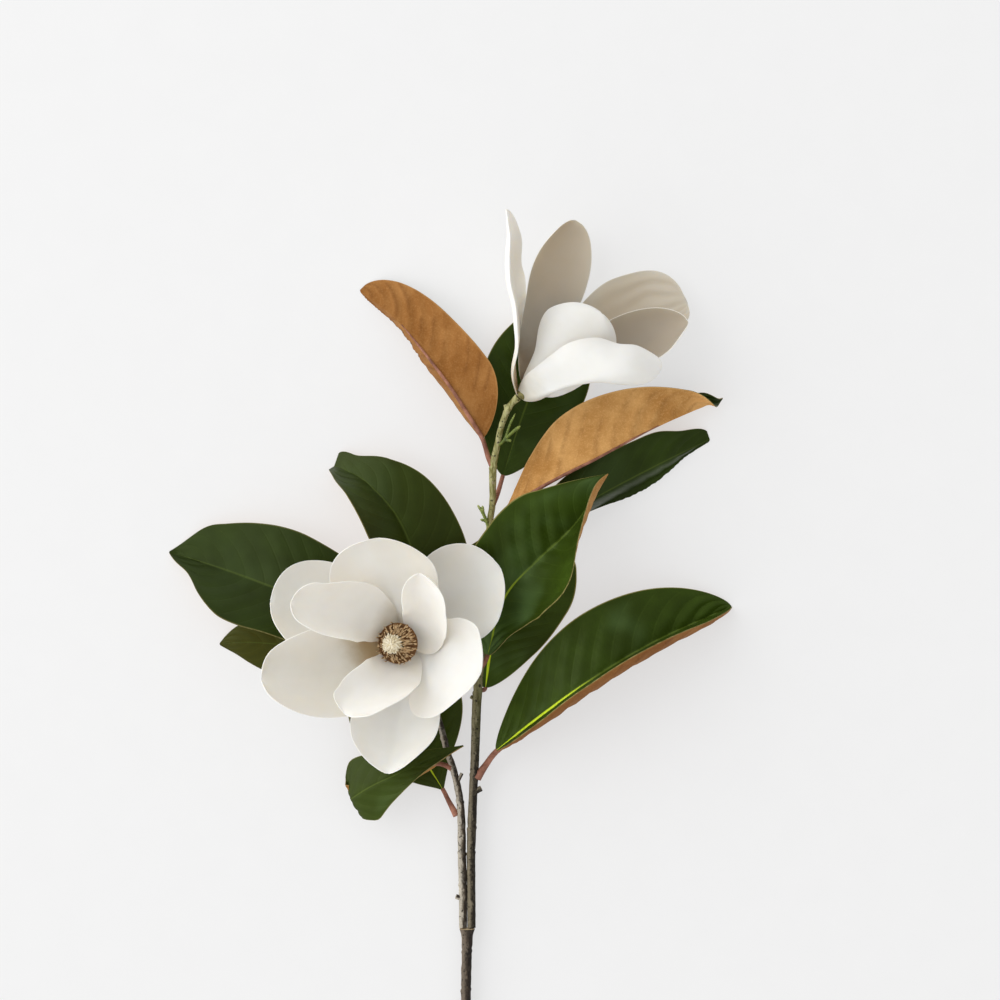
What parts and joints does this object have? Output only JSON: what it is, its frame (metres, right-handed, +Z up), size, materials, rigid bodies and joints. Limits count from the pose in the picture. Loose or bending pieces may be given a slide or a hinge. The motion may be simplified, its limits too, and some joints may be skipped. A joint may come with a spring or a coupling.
{
  "type": "magnolia branch",
  "caption": "Cut magnolia branch lying on a surface, with an open white flower, a cup-shaped white flower and leathery leaves that are brown underneath.",
  "frame": {"origin": "middle of the bounding box, on the surface that the branch lies on", "axes": "+Y along the branch from its cut end to its tip, +Z up from the surface, towards the side that the open flower faces, +X to the right seen from above with the tip ahead"},
  "size_m": [0.3518, 0.6348, 0.0875],
  "materials": {
    "bark": "rough",
    "sprig": "matt",
    "leaf": "glossy above, felted brown beneath",
    "tepal": "matt",
    "stamens": "matt",
    "carpels": "matt"
  },
  "bodies": {
    "root": {"main_stem": "bark", "left_shoot": "bark", "right_shoot": "bark", "sprig_low": "sprig", "sprig_high": "sprig", "leaf_left": "leaf", "leaf_left_high": "leaf", "leaf_left_low": "leaf", "leaf_lowest_bent": "leaf", "leaf_under_flower": "leaf", "leaf_right": "leaf", "leaf_right_low": "leaf", "leaf_right_front": "leaf", "leaf_right_back": "leaf", "leaf_right_turned": "leaf", "leaf_top_turned": "leaf", "leaf_top_back": "leaf", "open_cone": "carpels", "cup_cone": "carpels", "open_stamens": "stamens", "cup_stamens": "stamens", "open_tepal_outer_left": "tepal", "open_tepal_outer_right": "tepal", "open_tepal_outer_low": "tepal", "open_tepal_middle_top": "tepal", "open_tepal_middle_left": "tepal", "open_tepal_middle_right": "tepal", "open_tepal_inner_left": "tepal", "open_tepal_inner_right": "tepal", "open_tepal_inner_low": "tepal", "cup_tepal_outer_left": "tepal", "cup_tepal_outer_far": "tepal", "cup_tepal_outer_near": "tepal", "cup_tepal_inner_far": "tepal", "cup_tepal_inner_right": "tepal", "cup_tepal_inner_near": "tepal"}
  },
  "joints": []
}
